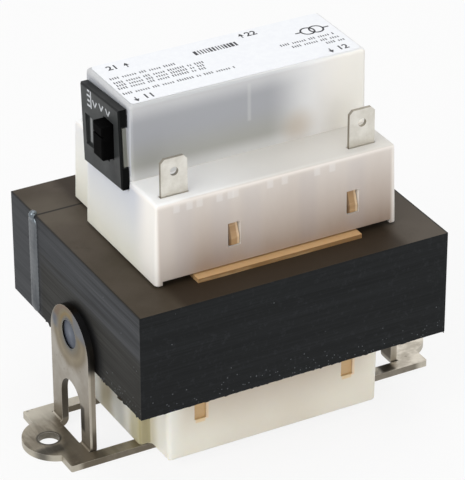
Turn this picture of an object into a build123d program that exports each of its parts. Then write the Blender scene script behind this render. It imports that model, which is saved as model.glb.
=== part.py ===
from build123d import *
import os
from math import cos, radians, sin, tan

# Foot-mounted control transformer. X runs along the foot strip, Z is up, and the origin is
# the middle of the core window at the level that the feet stand on. Millimetres.

# Laminated core
centre_leg = 25.4
outer_leg = 12.7
window_width = 12.7
window_length = 38.1
yoke = 12.7
bar = 12.7
stack = 25.4
core_bottom = 22.0
weld_width = 4.2
weld_height = 0.6
weld_shift = 1.35

# Folded mounting frame
sheet = 1.6
strip_width = 25.4
rail_width = 3.1
upright_slit = 0.25
upright_lap = 11.7
bend_radius = 0.5
slot_width = 9.8
slot_drop = 7.0
slot_run = 0.1
hole_from_upright = 5.8
foot_hole = 4.8
tongue_radius = 8.0
tongue_inset = 2.1
strip_past_hole = 0.5
strip_corner = 0.4
dimple = 6.8
dimple_depth = 0.3
dimple_up = 5.1

# Bobbin
leg_clearance = 0.25
bobbin_end_clearance = 0.25
tube_wall = 1.2
flange_wall = 1.4
flange_width = 47.2
flange_height = 50.2
ledge_width = 40.6
ledge_reach = 5.85
ledge_thick = 1.0
catch_width = 2.5
catch_gap = 0.2
catch_lip = 1.7
catch_slope = 1.3
catch_sunk = 0.2
socket_width = 7.0
socket_depth = 3.0
socket_top_gap = 4.0
socket_height = 5.8

# Windings
winding_clearance = 0.1
winding_build = 7.9
winding_corner = 3.0
tape_wall = 0.4

# Covers
cover_wall = 1.5
cover_draft = 1.5
cover_corner = 1.0
corner_share = 0.45
edge_round = 0.9
cover_half = 29.85
cover_shift = 0.45
cover_front = 22.6
rear_half = 27.2
rear_step = 11.2
skirt_gap = 0.5
skirt_relief = 0.9
skirt_foot = 1.6
lower_tier = 19.8
upper_tier = 18.0
upper_half = 28.9
upper_depth = 21.5
upper_shift = 0.65
upper_draft = 0.5
top_window_height = 5.6
top_window_up = 5.5
top_window_left = 10.3
top_window_right = 19.1
window_side_gap = 0.25
base_half = 29.4
base_step = 13.1
base_nose_half = 26.6
base_nose = 21.8
base_draft = 1.0
base_clearance = 0.1
rim_gap = 0.3
base_window_height = 4.5
base_window_down = 6.6
base_window_x = 18.65

# Label
label_margin = 0.9
label_thick = 0.12
label_corner = 0.8

# Tab terminals
tab_width = 6.35
tab_thick = 0.8
tab_rise = 8.9
tab_hole = 2.0
tab_hole_drop = 3.3
tab_chamfer = 0.9
tab_shank = 3.2
tab_gap = 0.25
tab_y = 18.9
primary_tab_x = 23.0
common_tab_x = -20.0
live_tab_x = 9.0

# Lead wires
lead_diameter = 1.0
lead_bend = 1.4
lead_drop = 2.6

# Breaker case and bezel
case_length = 30.4
case_width = 16.4
case_height = 16.0
case_wall = 1.0
case_top_gap = 1.5
case_clearance = 0.3
bezel_width = 18.3
bezel_height = 18.7
bezel_thick = 1.9
bezel_seat = 0.1
bezel_top_gap = 1.65
bezel_turn = 3.4
bezel_edge = 0.3
spigot_length = 2.4
spigot_gap = 0.15
pocket_reach = 7.3
pocket_height = 7.4
pocket_depth = 0.8
pocket_up = 2.8
clip_height = 9.0
clip_up = 0.5
clip_depth = 0.9
clip_reach = 1.1

# Breaker button, its spring and its guide
button_width = 4.3
button_height = 8.0
button_shift = -3.9
button_up = 1.35
button_proud = 2.7
button_gap = 0.3
button_round = 0.4
button_groove = 0.5
groove_up = 1.6
collar_lip = 0.9
collar_thick = 1.2
travel = 3.0
stem_diameter = 3.0
stem_gap = 0.35
guide_thick = 1.2
spring_room = 6.0
spring_wire = 0.5
spring_turns = 5
spring_gap = 0.35

# Breaker contacts
blade_width = 3.2
blade_thick = 0.8
blade_drop = 4.5
blade_gap = 0.2
blade_y = 3.2
in_blade_back = 3.6
out_blade_back = 5.0
leaf_rise = 4.0
leaf_depth = 5.0
contact_diameter = 3.0
contact_thick = 0.7
strip_thick = 0.5
strip_end = 1.0
rivet_diameter = 1.6
rivet_head = 2.6
rivet_head_thick = 0.5
rivet_gap = 0.05

# Places that follow from the sizes above
window_half = window_length / 2
window_x = (centre_leg + window_width) / 2
core_half = centre_leg / 2 + window_width + outer_leg
core_top = core_bottom + stack
core_mid = core_bottom + stack / 2

upright_width = strip_width - 2 * rail_width - 2 * upright_slit
upright_out = core_half + sheet
bend_x = upright_out + bend_radius
hole_x = upright_out + hole_from_upright
tongue_x = hole_x - tongue_inset
upright_round = core_bottom + upright_lap - upright_width / 2

bobbin_half = window_half - bobbin_end_clearance
bore_half = centre_leg / 2 + leg_clearance
bore_half_z = stack / 2 + leg_clearance
tube_half = bore_half + tube_wall
tube_half_z = bore_half_z + tube_wall
winding_half = tube_half + winding_clearance + winding_build
winding_half_z = tube_half_z + winding_clearance + winding_build
winding_top = core_mid + winding_half_z + tape_wall

skirt_bottom = core_top + skirt_gap
lower_top = core_top + lower_tier
upper_top = lower_top + upper_tier
upper_foot_half = upper_half + upper_tier * tan(radians(upper_draft))
roof_under = lower_top - cover_wall
base_floor = sheet + base_clearance
base_rim = core_bottom - rim_gap
tab_top = lower_top + tab_rise
socket_top = roof_under - socket_top_gap

bezel_back = cover_shift - upper_foot_half - bezel_seat
bezel_face = bezel_back - bezel_thick
bezel_mid = upper_top - bezel_top_gap - bezel_height / 2
case_top = upper_top - cover_wall - case_top_gap
case_bottom = case_top - case_height
case_end = bezel_back + case_length
button_y = button_shift
button_z = bezel_mid + button_up
button_end = bezel_face - button_proud
collar_front = bezel_back + spigot_length + button_gap
collar_back = collar_front + collar_thick
guide_x = collar_back + travel + spring_room
blade_in_x = guide_x + guide_thick + in_blade_back
blade_out_x = case_end - case_wall - out_blade_back
under_case = min(case_bottom, roof_under)
floor_top = case_bottom + case_wall
leaf_top = floor_top + leaf_rise
strip_bottom = leaf_top + 2 * contact_thick

os.makedirs("parts", exist_ok=True)


def write(builder, name):
    """Label a finished piece and write it to its own file."""
    builder.part.label = name
    export_step(builder.part, f"parts/{name}.step")


# Core: the E stack with its three legs, and the bar that closes it
with BuildPart() as core_e_stack:
    with BuildSketch(Plane.XY.offset(core_bottom)):
        with Locations((0, -yoke / 2)):
            Rectangle(2 * core_half, window_length + yoke)
        with Locations((-window_x, 0), (window_x, 0)):
            Rectangle(window_width, window_length, mode=Mode.SUBTRACT)
    extrude(amount=stack)
write(core_e_stack, "core_e_stack")

with BuildPart() as core_i_stack:
    with BuildSketch(Plane.XY.offset(core_bottom)):
        with Locations((0, window_half + bar / 2)):
            Rectangle(2 * core_half, bar)
    extrude(amount=stack)
write(core_i_stack, "core_i_stack")

# Weld beads along the joint of the two stacks, one on each end
with BuildPart() as core_weld_seams:
    with BuildSketch(Plane.XY.offset(core_bottom)):
        weld_y = window_half + weld_shift
        for side in (-1, 1):
            with BuildLine():
                bead = ThreePointArc(
                    (side * core_half, weld_y - weld_width / 2),
                    (side * (core_half + weld_height), weld_y),
                    (side * core_half, weld_y + weld_width / 2),
                )
                Line(bead @ 1, bead @ 0)
            make_face()
    extrude(amount=stack)
write(core_weld_seams, "core_weld_seams")

# Mounting frame: foot strip with two rails, and an upright bent up at each end
with BuildPart() as mounting_frame:
    with BuildSketch() as foot_strip:
        Rectangle(2 * (hole_x + strip_past_hole), strip_width)
        fillet(foot_strip.vertices(), strip_corner)
        with Locations((-tongue_x, 0), (tongue_x, 0)):
            Circle(tongue_radius)
        Rectangle(2 * bend_x, strip_width - 2 * rail_width, mode=Mode.SUBTRACT)
        with Locations((-hole_x, 0), (hole_x, 0)):
            Circle(foot_hole / 2, mode=Mode.SUBTRACT)
    extrude(amount=sheet)
    with BuildSketch(Plane.XZ):
        for side in (-1, 1):
            with BuildLine():
                foot_top = (side * bend_x, sheet)
                foot_under = (side * bend_x, 0)
                plate_out = (side * upright_out, sheet + bend_radius)
                plate_in = (side * core_half, sheet + bend_radius)
                RadiusArc(foot_top, plate_out, side * bend_radius)
                RadiusArc(foot_under, plate_in, side * (bend_radius + sheet))
                Line(foot_top, foot_under)
                Line(plate_out, plate_in)
            make_face()
    extrude(amount=upright_width / 2, both=True)
    for plate_x in (-upright_out, core_half):
        with BuildSketch(Plane.YZ.offset(plate_x)):
            with Locations((0, sheet + bend_radius)):
                Rectangle(
                    upright_width,
                    upright_round - sheet - bend_radius,
                    align=(Align.CENTER, Align.MIN),
                )
            with Locations((0, upright_round)):
                Circle(upright_width / 2)
        extrude(amount=sheet)
    with BuildSketch(Plane.YZ):
        slot_round = core_bottom - slot_drop - slot_width / 2
        Rectangle(slot_width, slot_round, align=(Align.CENTER, Align.MIN))
        with Locations((0, slot_round)):
            Circle(slot_width / 2)
    extrude(amount=bend_x + slot_run, both=True, mode=Mode.SUBTRACT)
    for dimple_x in (-upright_out, upright_out - dimple_depth):
        with BuildSketch(Plane.YZ.offset(dimple_x)):
            with Locations((0, core_bottom + dimple_up)):
                Circle(dimple / 2)
        extrude(amount=dimple_depth, mode=Mode.SUBTRACT)
write(mounting_frame, "mounting_frame")


# Bobbin: square tube on the centre leg, three flanges, ledges over the core, catches and sockets
def catch_profile(root, reach, flat, tip):
    """Section of a snap wedge: flat is the level that holds and tip is where the slope ends."""
    side = 1 if root > 0 else -1
    lip = flat + (catch_lip if tip > flat else -catch_lip)
    sunk = root - side * flange_wall / 2
    return (sunk, flat), (reach, flat), (reach, lip), (reach - side * catch_slope, tip), (sunk, tip)


tab_places = {
    "terminal_primary_common": (-primary_tab_x, -tab_y),
    "terminal_primary_line": (primary_tab_x, -tab_y),
    "terminal_secondary_common": (common_tab_x, tab_y),
    "terminal_secondary_live": (live_tab_x, tab_y),
}
top_window_low = skirt_bottom + top_window_up - skirt_gap
base_window_top = core_bottom - base_window_down
top_reach = cover_front - catch_sunk
base_reach = base_nose - catch_sunk

with BuildPart() as bobbin:
    with BuildSketch(Plane.XZ.offset(-bobbin_half)):
        with Locations((0, core_mid)):
            Rectangle(2 * tube_half, 2 * tube_half_z)
    extrude(amount=2 * bobbin_half)
    for flange_y in (bobbin_half, flange_wall / 2, flange_wall - bobbin_half):
        with BuildSketch(Plane.XZ.offset(-flange_y)):
            with Locations((0, core_mid)):
                Rectangle(flange_width, flange_height)
        extrude(amount=flange_wall)
    with BuildSketch(Plane.XY.offset(core_top)):
        for side in (-1, 1):
            with Locations((0, side * (bobbin_half + (ledge_reach - flange_wall) / 2))):
                Rectangle(ledge_width, ledge_reach + flange_wall)
    extrude(amount=ledge_thick)
    for side in (-1, 1):
        top_catch = catch_profile(
            side * bobbin_half,
            side * top_reach,
            top_window_low + catch_gap,
            top_window_low + top_window_height - catch_gap,
        )
        base_catch = catch_profile(
            side * bobbin_half,
            side * base_reach,
            base_window_top - catch_gap,
            base_window_top - base_window_height + catch_gap,
        )
        for x, profile in (
            (-top_window_left, top_catch),
            (top_window_right, top_catch),
            (-base_window_x, base_catch),
            (base_window_x, base_catch),
        ):
            with BuildSketch(Plane.YZ.offset(x - catch_width / 2)):
                with BuildLine():
                    Polyline(*profile, close=True)
                make_face()
            extrude(amount=catch_width)
    for x, y in tab_places.values():
        with BuildSketch(Plane.XY.offset(socket_top)):
            with Locations((x, y)):
                Rectangle(socket_width, socket_depth)
        extrude(amount=-socket_height)
    for x, y in tab_places.values():
        with BuildSketch(Plane.XY.offset(socket_top)):
            with Locations((x, y)):
                Rectangle(tab_shank + 2 * tab_gap, tab_thick + 2 * tab_gap)
        extrude(amount=-socket_height / 2, mode=Mode.SUBTRACT)
    with BuildSketch(Plane.XZ.offset(-bobbin_half)):
        with Locations((0, core_mid)):
            Rectangle(2 * bore_half, 2 * bore_half_z)
    extrude(amount=2 * bobbin_half, mode=Mode.SUBTRACT)
write(bobbin, "bobbin")

# Windings: the primary in the front section, the secondary in the rear one, each taped over
winding_long = bobbin_half - 1.5 * flange_wall - 2 * winding_clearance
for name, wound_from in (
    ("primary", -flange_wall / 2 - winding_clearance),
    ("secondary", bobbin_half - flange_wall - winding_clearance),
):
    with BuildPart() as winding:
        with BuildSketch(Plane.XZ.offset(-wound_from)):
            with Locations((0, core_mid)):
                RectangleRounded(2 * winding_half, 2 * winding_half_z, winding_corner)
                Rectangle(
                    2 * (tube_half + winding_clearance),
                    2 * (tube_half_z + winding_clearance),
                    mode=Mode.SUBTRACT,
                )
        extrude(amount=winding_long)
    write(winding, f"{name}_winding")
    with BuildPart() as tape:
        with BuildSketch(Plane.XZ.offset(-wound_from)):
            with Locations((0, core_mid)):
                RectangleRounded(
                    2 * (winding_half + tape_wall),
                    2 * (winding_half_z + tape_wall),
                    winding_corner + tape_wall,
                )
                RectangleRounded(
                    2 * winding_half, 2 * winding_half_z, winding_corner, mode=Mode.SUBTRACT
                )
        extrude(amount=winding_long)
    write(tape, f"{name}_tape")


def step_corner(step):
    """Corner radius of a cover's plan, which a short step in its outline limits."""
    return min(cover_corner, corner_share * abs(step))


# Top cover: a wide lower tier over the coil and a narrow upper tier over the breaker
def top_outline(inset):
    """Plan of the lower tier, drawn in by inset, with its rear narrower than its front."""
    half, narrow, end = cover_half - inset, rear_half - inset, cover_front - inset
    step = rear_step - inset
    plan = (
        (-half, -end), (half, -end), (half, step), (narrow, step),
        (narrow, end), (-narrow, end), (-narrow, step), (-half, step),
    )
    return [(x + cover_shift, y) for x, y in plan]


def bezel_plane(x):
    """Plane across X at the bezel's middle, turned as the breaker sits in its opening."""
    turn = radians(bezel_turn)
    return Plane(origin=(x, 0, bezel_mid), x_dir=(0, cos(turn), -sin(turn)), z_dir=(1, 0, 0))


with BuildPart() as top_cover:
    with BuildSketch(Plane.XY.offset(skirt_bottom)) as lower_plan:
        with BuildLine():
            Polyline(*top_outline(0), close=True)
        make_face()
        fillet(lower_plan.vertices(), step_corner(cover_half - rear_half))
    extrude(amount=lower_top - skirt_bottom, taper=cover_draft)
    fillet(faces().sort_by(Axis.Z)[-1].edges(), edge_round)
    with BuildSketch(Plane.XY.offset(lower_top - edge_round)):
        with Locations((cover_shift, upper_shift)):
            RectangleRounded(2 * upper_foot_half, upper_depth, cover_corner)
    extrude(amount=upper_top - lower_top + edge_round, taper=upper_draft)
    fillet(faces().sort_by(Axis.Z)[-1].edges(), edge_round)
    with BuildSketch(Plane.XY.offset(skirt_bottom)):
        with BuildLine():
            Polyline(*top_outline(cover_wall), close=True)
        make_face()
    extrude(amount=roof_under - skirt_bottom, taper=cover_draft, mode=Mode.SUBTRACT)
    with BuildSketch(Plane.XY.offset(roof_under)):
        with Locations((cover_shift, upper_shift)):
            Rectangle(2 * (upper_foot_half - cover_wall), upper_depth - 2 * cover_wall)
    extrude(amount=upper_tier, taper=upper_draft, mode=Mode.SUBTRACT)
    for side in (-1, 1):
        with BuildSketch(Plane.XY.offset(skirt_bottom)):
            relief_half = cover_half if side < 0 else rear_half
            with Locations((cover_shift, side * cover_front)):
                Rectangle(2 * (relief_half - skirt_foot), 4 * cover_wall)
        extrude(amount=skirt_relief, mode=Mode.SUBTRACT)
    with BuildSketch(Plane.XZ):
        for x in (-top_window_left, top_window_right):
            with Locations((x, top_window_low)):
                Rectangle(
                    catch_width + 2 * window_side_gap,
                    top_window_height,
                    align=(Align.CENTER, Align.MIN),
                )
    extrude(amount=cover_front + cover_wall, both=True, mode=Mode.SUBTRACT)
    with BuildSketch(Plane.XY.offset(lower_top)):
        for x, y in tab_places.values():
            with Locations((x, y)):
                Rectangle(tab_width + 2 * tab_gap, tab_thick + 2 * tab_gap)
    extrude(amount=-2 * cover_wall, mode=Mode.SUBTRACT)
    with BuildSketch(bezel_plane(bezel_back + bezel_seat / 2)):
        Rectangle(bezel_width + 2 * case_clearance, bezel_height + 2 * case_clearance)
    extrude(amount=-bezel_thick, mode=Mode.SUBTRACT)
    with BuildSketch(bezel_plane(bezel_back - clip_reach)):
        for side in (-1, 1):
            with Locations((side * (bezel_width - clip_depth) / 2, clip_up)):
                Rectangle(clip_depth, clip_height)
    extrude(amount=clip_reach + cover_wall / 2)
    with BuildSketch(Plane.YZ.offset(bezel_back)):
        with Locations((0, (case_top + case_bottom) / 2)):
            Rectangle(case_width + 2 * case_clearance, case_height + 2 * case_clearance)
    extrude(amount=case_length + case_clearance, mode=Mode.SUBTRACT)
write(top_cover, "top_cover")


# Bottom cover: a tray under the coil, narrower at its two noses
def base_outline(inset):
    """Plan of the tray at its floor, drawn in by inset."""
    half, step = base_half - inset, base_step - inset
    narrow, nose = base_nose_half - inset, base_nose - inset
    return (
        (-half, -step), (-narrow, -step), (-narrow, -nose), (narrow, -nose),
        (narrow, -step), (half, -step), (half, step), (narrow, step),
        (narrow, nose), (-narrow, nose), (-narrow, step), (-half, step),
    )


with BuildPart() as bottom_cover:
    with BuildSketch(Plane.XY.offset(base_floor)) as tray_plan:
        with BuildLine():
            Polyline(*base_outline(0), close=True)
        make_face()
        fillet(tray_plan.vertices(), step_corner(base_half - base_nose_half))
    extrude(amount=base_rim - base_floor, taper=-base_draft)
    fillet(faces().sort_by(Axis.Z)[0].edges(), edge_round)
    with BuildSketch(Plane.XY.offset(base_floor + cover_wall)):
        with BuildLine():
            Polyline(*base_outline(cover_wall), close=True)
        make_face()
    extrude(amount=base_rim - base_floor - cover_wall, taper=-base_draft, mode=Mode.SUBTRACT)
    with BuildSketch(Plane.XZ):
        for x in (-base_window_x, base_window_x):
            with Locations((x, base_window_top)):
                Rectangle(
                    catch_width + 2 * window_side_gap,
                    base_window_height,
                    align=(Align.CENTER, Align.MAX),
                )
    extrude(amount=base_nose + cover_wall, both=True, mode=Mode.SUBTRACT)
write(bottom_cover, "bottom_cover")

# Printed label on the roof
with BuildPart() as label:
    with BuildSketch(Plane.XY.offset(upper_top)):
        with Locations((cover_shift, upper_shift)):
            RectangleRounded(
                2 * (upper_half - label_margin), upper_depth - 2 * label_margin, label_corner
            )
    extrude(amount=label_thick)
write(label, "label")

# Tab terminals: a wide blade above the roof on a narrow shank that sits in its socket
for name, (x, y) in tab_places.items():
    with BuildPart() as terminal:
        with BuildSketch(Plane.XZ.offset(-y - tab_thick / 2)) as blade:
            with Locations((x, roof_under)):
                Rectangle(tab_width, tab_top - roof_under, align=(Align.CENTER, Align.MIN))
            chamfer(blade.vertices().group_by(Axis.Y)[-1], tab_chamfer)
            with Locations((x, socket_top - socket_height / 2 + tab_gap)):
                Rectangle(
                    tab_shank,
                    roof_under - socket_top + socket_height / 2,
                    align=(Align.CENTER, Align.MIN),
                )
            with Locations((x, tab_top - tab_hole_drop)):
                Circle(tab_hole / 2, mode=Mode.SUBTRACT)
        extrude(amount=tab_thick)
    write(terminal, name)


# Lead wires: bent from straight runs with a round at each corner
def lead(name, *points):
    """A round wire along the points."""
    with BuildPart() as wire:
        with BuildLine() as route:
            FilletPolyline(*points, radius=lead_bend)
        with BuildSketch(Plane(origin=route.line @ 0, z_dir=route.line % 0)):
            Circle(lead_diameter / 2)
        sweep()
    write(wire, name)


lead_level = roof_under - lead_drop
tab_side = tab_y - tab_thick / 2
winding_mid = bobbin_half / 2
blade_side = blade_y + blade_thick / 2
blade_low = under_case - blade_drop / 2
for name, x in (("primary_lead_common", -primary_tab_x), ("primary_lead_line", primary_tab_x)):
    inboard = x * (winding_half - 2 * winding_corner) / primary_tab_x
    lead(
        name,
        (inboard, -winding_mid, winding_top),
        (inboard, -winding_mid, lead_level),
        (x, -winding_mid, lead_level),
        (x, -tab_side, lead_level),
    )
lead(
    "secondary_lead_common",
    (common_tab_x + socket_width, winding_mid, winding_top),
    (common_tab_x + socket_width, winding_mid, lead_level),
    (common_tab_x, winding_mid, lead_level),
    (common_tab_x, tab_side, lead_level),
)
lead(
    "secondary_lead_breaker",
    (blade_in_x, winding_mid, winding_top),
    (blade_in_x, winding_mid, blade_low),
    (blade_in_x, blade_side, blade_low),
)
lead(
    "breaker_lead_live",
    (blade_out_x, blade_side, blade_low),
    (blade_out_x, winding_mid, blade_low),
    (live_tab_x, winding_mid, blade_low),
    (live_tab_x, tab_side, blade_low),
)

# Breaker case: a box that is open towards the bezel, with a guide wall for the button's stem
with BuildPart() as breaker_case:
    with BuildSketch(Plane.YZ.offset(bezel_back)):
        with Locations((0, (case_top + case_bottom) / 2)):
            Rectangle(case_width, case_height)
    extrude(amount=case_length)
    with BuildSketch(Plane.YZ.offset(bezel_back)):
        with Locations((0, (case_top + case_bottom) / 2)):
            Rectangle(case_width - 2 * case_wall, case_height - 2 * case_wall)
    extrude(amount=case_length - case_wall, mode=Mode.SUBTRACT)
    with BuildSketch(Plane.YZ.offset(guide_x)):
        with Locations((0, (case_top + case_bottom) / 2)):
            Rectangle(case_width - case_wall, case_height - case_wall)
        with Locations((button_y, button_z)):
            Circle(stem_diameter / 2 + stem_gap, mode=Mode.SUBTRACT)
    extrude(amount=guide_thick)
    with BuildSketch(Plane.XY.offset(floor_top)):
        with Locations((blade_in_x, blade_y), (blade_out_x, blade_y)):
            Rectangle(blade_width + 2 * blade_gap, blade_thick + 2 * blade_gap)
    extrude(amount=-2 * case_wall, mode=Mode.SUBTRACT)
write(breaker_case, "breaker_case")

# Bezel: face plate with the button's opening, a finger pocket beside it and a spigot behind
with BuildPart() as breaker_bezel:
    with BuildSketch(bezel_plane(bezel_back)):
        Rectangle(bezel_width, bezel_height)
    extrude(amount=-bezel_thick)
    chamfer(faces().sort_by(Axis.X)[0].edges(), bezel_edge)
    with BuildSketch(Plane.YZ.offset(bezel_back)):
        with Locations((0, (case_top + case_bottom) / 2)):
            Rectangle(
                case_width - 2 * case_wall - 2 * spigot_gap,
                case_height - 2 * case_wall - 2 * spigot_gap,
            )
    extrude(amount=spigot_length)
    with BuildSketch(bezel_plane(bezel_face)):
        with Locations((pocket_reach, pocket_up)):
            Rectangle(pocket_reach - button_y, pocket_height, align=(Align.MAX, Align.MAX))
    extrude(amount=pocket_depth, mode=Mode.SUBTRACT)
    with BuildSketch(Plane.YZ.offset(bezel_face)):
        with Locations((button_y, button_z)):
            Rectangle(button_width + 2 * button_gap, button_height + 2 * button_gap)
    extrude(amount=bezel_thick + spigot_length, mode=Mode.SUBTRACT)
    with BuildSketch(bezel_plane(bezel_back)):
        for side in (-1, 1):
            with Locations((side * bezel_width / 2, clip_up)):
                Rectangle(
                    2 * (clip_depth + case_clearance), clip_height + 2 * case_clearance
                )
    extrude(amount=-clip_reach - bezel_edge, mode=Mode.SUBTRACT)
write(breaker_bezel, "breaker_bezel")

# Reset button: rounded block with a groove, collar that stops it behind the spigot, and stem
with BuildPart() as breaker_button:
    with BuildSketch(Plane.YZ.offset(button_end)):
        with Locations((button_y, button_z)):
            Rectangle(button_width, button_height)
    extrude(amount=collar_front - button_end)
    fillet(faces().sort_by(Axis.X)[0].edges(), button_round)
    with BuildSketch(Plane.YZ.offset(button_end)):
        with Locations((button_y, button_z + groove_up)):
            Rectangle(button_width, button_groove)
    extrude(amount=button_groove, mode=Mode.SUBTRACT)
    with BuildSketch(Plane.YZ.offset(collar_front)):
        with Locations((button_y, button_z)):
            Rectangle(button_width + 2 * collar_lip, button_height + 2 * collar_lip)
    extrude(amount=collar_thick)
    with BuildSketch(Plane.YZ.offset(collar_back)):
        with Locations((button_y, button_z)):
            Circle(stem_diameter / 2)
    extrude(amount=guide_x + guide_thick - collar_back)
write(breaker_button, "breaker_button")

# Return spring on the stem, between the collar and the guide wall
spring_radius = stem_diameter / 2 + spring_gap + spring_wire / 2
spring_start = collar_back + spring_wire / 2 + spring_gap
spring_length = guide_x - spring_start - spring_wire / 2 - spring_gap
with BuildPart() as breaker_spring:
    with BuildLine() as coil:
        Helix(
            pitch=spring_length / spring_turns,
            height=spring_length,
            radius=spring_radius,
            center=(spring_start, button_y, button_z),
            direction=(1, 0, 0),
        )
    with BuildSketch(Plane(origin=coil.line @ 0, z_dir=coil.line % 0)):
        Circle(spring_wire / 2)
    sweep(is_frenet=True)
write(breaker_spring, "breaker_spring")


# Breaker terminals: blades through the case floor, each with a leaf at its top
def breaker_terminal(name, x, leaf_from, leaf_to, top, hole):
    """A blade at x with a level leaf between two places along X, drilled at hole if it has one."""
    with BuildPart() as terminal:
        with BuildSketch(Plane.XZ.offset(-blade_side)):
            with Locations((x, under_case - blade_drop)):
                Rectangle(
                    blade_width,
                    top - under_case + blade_drop,
                    align=(Align.CENTER, Align.MIN),
                )
        extrude(amount=blade_thick)
        with BuildSketch(Plane.XY.offset(top - blade_thick)):
            with Locations(((leaf_from + leaf_to) / 2, blade_y)):
                Rectangle(leaf_to - leaf_from, leaf_depth)
            if hole:
                with Locations((hole, blade_y)):
                    Circle(rivet_diameter / 2 + rivet_gap, mode=Mode.SUBTRACT)
        extrude(amount=blade_thick)
    write(terminal, name)


blade_half = blade_width / 2
rivet_x = blade_out_x + blade_half + rivet_head / 2
strip_right = rivet_x + rivet_head / 2
breaker_terminal(
    "breaker_terminal_in", blade_in_x, blade_in_x - blade_half, blade_in_x + blade_half, leaf_top, None
)
breaker_terminal(
    "breaker_terminal_out", blade_out_x, blade_out_x - blade_half, strip_right, strip_bottom, rivet_x
)

# Contacts, one on the leaf and one under the strip
for name, level in (
    ("breaker_contact_fixed", leaf_top),
    ("breaker_contact_moving", leaf_top + contact_thick),
):
    with BuildPart() as contact:
        with BuildSketch(Plane.XY.offset(level)):
            with Locations((blade_in_x, blade_y)):
                Circle(contact_diameter / 2)
        extrude(amount=contact_thick)
    write(contact, name)

# Bimetal strip and the rivet that holds it
with BuildPart() as breaker_bimetal:
    with BuildSketch(Plane.XY.offset(strip_bottom)):
        strip_left = blade_in_x - contact_diameter / 2 - strip_end
        with Locations(((strip_left + strip_right) / 2, blade_y)):
            Rectangle(strip_right - strip_left, leaf_depth)
        with Locations((rivet_x, blade_y)):
            Circle(rivet_diameter / 2 + rivet_gap, mode=Mode.SUBTRACT)
    extrude(amount=strip_thick)
write(breaker_bimetal, "breaker_bimetal")

with BuildPart() as breaker_rivet:
    rivet_bottom = strip_bottom - blade_thick
    with BuildSketch(Plane.XY.offset(rivet_bottom - rivet_head_thick)):
        with Locations((rivet_x, blade_y)):
            Circle(rivet_head / 2)
    extrude(amount=rivet_head_thick)
    with BuildSketch(Plane.XY.offset(rivet_bottom)):
        with Locations((rivet_x, blade_y)):
            Circle(rivet_diameter / 2)
    extrude(amount=blade_thick + strip_thick)
    with BuildSketch(Plane.XY.offset(strip_bottom + strip_thick)):
        with Locations((rivet_x, blade_y)):
            Circle(rivet_head / 2)
    extrude(amount=rivet_head_thick)
write(breaker_rivet, "breaker_rivet")
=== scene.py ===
import math
import bmesh
import bpy
from mathutils import Matrix, Vector


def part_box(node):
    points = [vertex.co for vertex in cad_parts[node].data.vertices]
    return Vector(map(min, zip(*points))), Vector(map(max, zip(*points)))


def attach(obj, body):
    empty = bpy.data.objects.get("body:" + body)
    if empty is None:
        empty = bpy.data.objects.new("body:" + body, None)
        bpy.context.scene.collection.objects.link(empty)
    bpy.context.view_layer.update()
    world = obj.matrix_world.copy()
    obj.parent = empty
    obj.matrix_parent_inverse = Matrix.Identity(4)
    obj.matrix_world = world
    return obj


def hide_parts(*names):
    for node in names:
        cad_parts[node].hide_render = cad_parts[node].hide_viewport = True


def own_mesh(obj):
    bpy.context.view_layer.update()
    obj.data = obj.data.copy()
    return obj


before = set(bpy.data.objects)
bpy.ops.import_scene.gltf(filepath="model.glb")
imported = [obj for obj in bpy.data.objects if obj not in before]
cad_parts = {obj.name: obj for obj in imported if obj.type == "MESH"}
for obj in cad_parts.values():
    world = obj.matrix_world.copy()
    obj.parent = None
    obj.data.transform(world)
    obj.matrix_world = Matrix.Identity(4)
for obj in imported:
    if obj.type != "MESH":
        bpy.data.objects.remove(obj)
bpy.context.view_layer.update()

# Everything is in metres. Sizes below are written in millimetres and scaled by MM.
MM = 0.001
BODY = "transformer"

# Places read from the solids
core_low, core_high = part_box("core_e_stack")
bar_low, bar_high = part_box("core_i_stack")
seam_low, seam_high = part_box("core_weld_seams")
cover_low, cover_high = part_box("top_cover")
tray_low, tray_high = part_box("bottom_cover")
label_low, label_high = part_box("label")
bezel_low, bezel_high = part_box("breaker_bezel")
case_low, case_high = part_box("breaker_case")
frame_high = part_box("mounting_frame")[1]

# Heights and places on the solids that the finishes follow
tier_z = cover_high.z - 18.0 * MM
upper_front = label_low.y - 0.9 * MM
dome_radius = 9.35 * MM
dome_z = frame_high.z - dome_radius
hole_x = core_high.x + 7.4 * MM
spot_weld_z = core_low.z + 5.1 * MM
bezel_turn = math.radians(3.4)
bezel_middle = (bezel_low + bezel_high) / 2

# Catches of the bobbin, in millimetres along the covers, and the heights of the tray's windows
top_catches = (-10.3, 19.1)
base_catches = (-18.65, 18.65)
window_sill, window_middle, jamb_middle = 10.6, 13.15, 13.0

# Ribs that show through the top cover's front wall, in millimetres along it
rib_places = (-24.0, -20.9, -18.5, -13.7, -11.0, -9.8, -1.4, 2.2, 10.2, 14.0)
rib_shadows = (-22.5, -13.5, -6.0, 8.0, 20.0)

# Print: how thick the ink lies, and how far it sinks into what carries it
ink_thick = 0.02 * MM
ink_sink = 0.005 * MM


def srgb(red, green, blue):
    """A colour written as screen levels from 0 to 255, as the linear colour that shaders take."""
    def linear(level):
        share = level / 255
        return share / 12.92 if share <= 0.04045 else ((share + 0.055) / 1.055) ** 2.4
    return (linear(red), linear(green), linear(blue), 1.0)


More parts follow.
